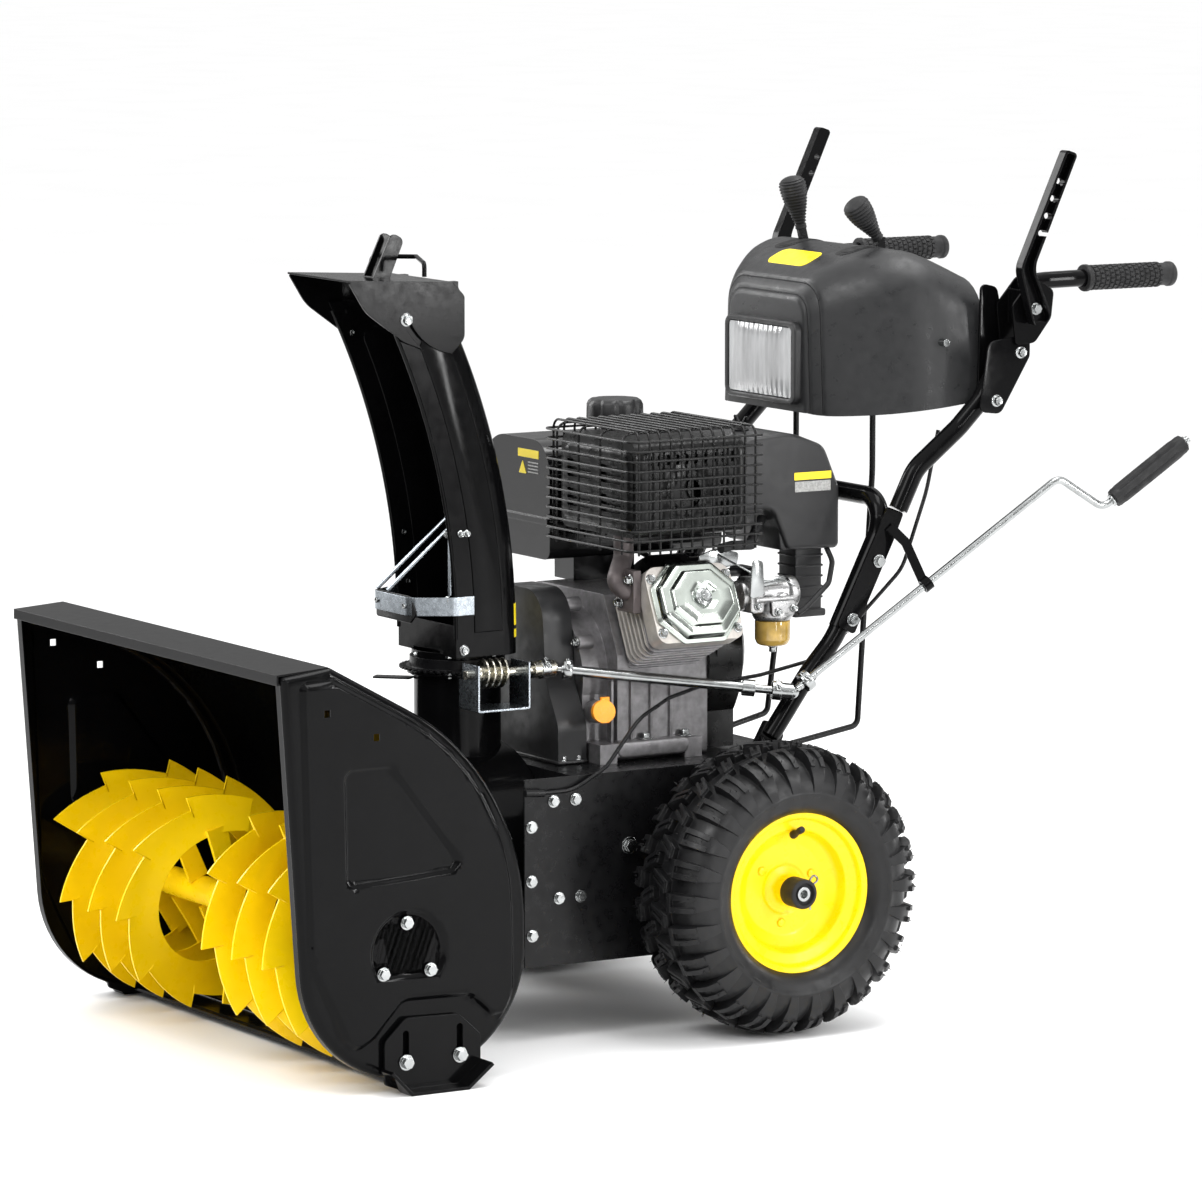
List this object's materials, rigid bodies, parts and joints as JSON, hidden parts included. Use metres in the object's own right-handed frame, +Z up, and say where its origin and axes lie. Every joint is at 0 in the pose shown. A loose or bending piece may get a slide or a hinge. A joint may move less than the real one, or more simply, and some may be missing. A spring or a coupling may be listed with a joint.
{
  "type": "two stage snowblower",
  "caption": "Self-propelled walk-behind snow thrower: serrated auger in a wide housing, impeller, crank-turned chute with hinged deflector, engine, lugged tyres and handlebar controls.",
  "frame": {"origin": "on the ground, under the centre of the machine's bounding box", "axes": "+Z up, -Y towards the auger housing (direction of travel), +X towards the operator's left"},
  "size_m": [0.8124, 1.408, 1.1328],
  "materials": {
    "black_paint": "gloss black powder coat",
    "dark_steel": "satin black paint",
    "yellow_paint": "gloss yellow paint",
    "zinc": "bright zinc plate",
    "tyre_rubber": "matt moulded rubber",
    "grip_rubber": "matt rubber",
    "black_plastic": "fine grained moulded plastic",
    "cast_aluminium": "bare die casting",
    "cast_iron_dark": "cast surface",
    "muffler_black": "heat resistant satin black",
    "orange_plastic": "glossy moulded plastic",
    "lamp_glass": "ribbed clear lens"
  },
  "bodies": {
    "chassis": {"air_cleaner": "black_plastic", "auger_gearbox": "black_paint", "auger_housing": "black_paint", "belt_cover": "black_plastic", "blower_housing": "muffler_black", "bolts_and_pins": "zinc", "carburettor": "cast_aluminium", "control_cables": "black_plastic", "control_panel": "black_plastic", "crank_guide": "black_paint", "drive_belts": "grip_rubber", "engine_crankcase": "cast_aluminium", "engine_cylinder": "cast_aluminium", "exhaust_pipe": "cast_iron_dark", "fuel_tank": "black_plastic", "handle_bars": "black_paint", "handle_grips": "grip_rubber", "headlight": "lamp_glass", "housing_beam": "dark_steel", "housing_side_left": "black_paint", "housing_side_right": "black_paint", "impeller_drum": "black_paint", "lower_handle": "black_paint", "muffler": "muffler_black", "muffler_guard": "black_paint", "scraper_bar": "zinc", "shaft_bearings": "zinc", "tractor_frame": "black_paint", "upper_handle_left": "black_paint", "upper_handle_right": "black_paint", "valve_cover": "zinc", "worm_bracket": "zinc"},
    "auger": {"auger_shaft": "zinc", "auger_left": "yellow_paint", "auger_right": "yellow_paint"},
    "impeller": {"impeller": "black_paint", "impeller_shaft": "zinc"},
    "wheels": {"drive_axle": "zinc", "wheel_rim_left": "yellow_paint", "wheel_rim_right": "yellow_paint", "tyre_left": "tyre_rubber", "tyre_right": "tyre_rubber"},
    "chute": {"chute": "black_paint", "chute_ring": "black_paint", "chute_guard": "zinc"},
    "deflector": {"deflector": "black_paint"},
    "worm": {"chute_worm": "zinc"},
    "link": {"link_rod": "zinc"},
    "crank": {"crank_rod": "zinc"},
    "crank_handle": {"crank_grip": "grip_rubber"},
    "speed_control": {"speed_lever": "black_plastic"},
    "deflector_control": {"deflector_lever": "black_plastic"},
    "clutch_left": {"clutch_lever_left": "black_paint"},
    "clutch_right": {"clutch_lever_right": "black_paint"},
    "skid_left": {"skid_shoe_left": "black_paint"},
    "skid_right": {"skid_shoe_right": "black_paint"},
    "tank_cap": {"fuel_cap": "black_plastic"},
    "recoil": {"recoil_handle": "black_plastic"},
    "dipstick": {"oil_filler_plug": "orange_plastic"},
    "crankshaft": {"engine_pulley": "cast_iron_dark"}
  },
  "joints": [
    {"name": "auger_spin", "type": "hinge", "parent": "chassis", "child": "auger", "pos_m": [0, -0.53, 0.173], "axis": [1, 0, 0], "continuous": true},
    {"name": "impeller_spin", "type": "hinge", "parent": "chassis", "child": "impeller", "pos_m": [0, -0.53, 0.217], "axis": [0, 1, 0], "continuous": true},
    {"name": "wheel_spin", "type": "hinge", "parent": "chassis", "child": "wheels", "pos_m": [0, 0.072, 0.1905], "axis": [1, 0, 0], "continuous": true},
    {"name": "chute_rotate", "type": "hinge", "parent": "chassis", "child": "chute", "pos_m": [0, -0.241, 0.468], "axis": [0, 0, 1], "range_deg": [-100, 100]},
    {"name": "deflector_tilt", "type": "hinge", "parent": "chute", "child": "deflector", "pos_m": [0, -0.283, 0.966], "axis": [-1, 0, 0], "range_deg": [0, 55]},
    {"name": "worm_spin", "type": "hinge", "parent": "chassis", "child": "worm", "pos_m": [0.0884, -0.241, 0.4695], "axis": [0, 1, 0], "range_deg": [-4800, 4800]},
    {"name": "link_spin", "type": "hinge", "parent": "chassis", "child": "link", "pos_m": [0.0884, -0.154, 0.4695], "axis": [0.4486, 0.8872, -0.1078], "range_deg": [-4800, 4800]},
    {"name": "crank_spin", "type": "hinge", "parent": "chassis", "child": "crank", "pos_m": [0.232, 0.13, 0.435], "axis": [0.1548, 0.8012, 0.5781], "range_deg": [-4800, 4800]},
    {"name": "crank_handle_spin", "type": "hinge", "parent": "crank", "child": "crank_handle", "pos_m": [0.31842, 0.57735, 0.66956], "axis": [0.1548, 0.8012, 0.5781], "continuous": true},
    {"name": "speed_shift", "type": "hinge", "parent": "chassis", "child": "speed_control", "pos_m": [-0.075, 0.372, 0.88], "axis": [1, 0, 0], "range_deg": [-20, 10]},
    {"name": "deflector_shift", "type": "hinge", "parent": "chassis", "child": "deflector_control", "pos_m": [0.075, 0.372, 0.88], "axis": [1, 0, 0], "range_deg": [-16, 6]},
    {"name": "clutch_left_press", "type": "hinge", "parent": "chassis", "child": "clutch_left", "pos_m": [0.29, 0.468, 0.926], "axis": [-1, 0, 0], "range_deg": [0, 50], "stiffness_Nm_per_rad": 1, "springref_deg": -45.84},
    {"name": "clutch_right_press", "type": "hinge", "parent": "chassis", "child": "clutch_right", "pos_m": [-0.29, 0.468, 0.926], "axis": [-1, 0, 0], "range_deg": [0, 50], "stiffness_Nm_per_rad": 1, "springref_deg": -45.84},
    {"name": "skid_left_slide", "type": "slide", "parent": "chassis", "child": "skid_left", "axis": [0, 0, -1], "range_m": [0, 0.035]},
    {"name": "skid_right_slide", "type": "slide", "parent": "chassis", "child": "skid_right", "axis": [0, 0, -1], "range_m": [0, 0.035]},
    {"name": "tank_cap_turn", "type": "hinge", "parent": "chassis", "child": "tank_cap", "pos_m": [-0.1, 0.06, 0.766], "axis": [0, 0, 1], "range_deg": [0, 90]},
    {"name": "recoil_pull", "type": "slide", "parent": "chassis", "child": "recoil", "axis": [0, 1, 0], "range_m": [0, 0.2], "stiffness_N_per_m": 40, "springref_m": -0.05},
    {"name": "dipstick_turn", "type": "hinge", "parent": "chassis", "child": "dipstick", "pos_m": [0.1322, -0.10006, 0.41403], "axis": [0.9481, -0.2844, 0.1422], "range_deg": [0, 90]},
    {"name": "crankshaft_spin", "type": "hinge", "parent": "chassis", "child": "crankshaft", "pos_m": [0, -0.128, 0.458], "axis": [0, 1, 0], "continuous": true}
  ],
  "couplings": [
    {"joint": "impeller_spin", "follows": "auger_spin", "ratio": 10},
    {"joint": "worm_spin", "follows": "chute_rotate", "ratio": 48},
    {"joint": "link_spin", "follows": "chute_rotate", "ratio": 48},
    {"joint": "crank_spin", "follows": "chute_rotate", "ratio": 48}
  ]
}
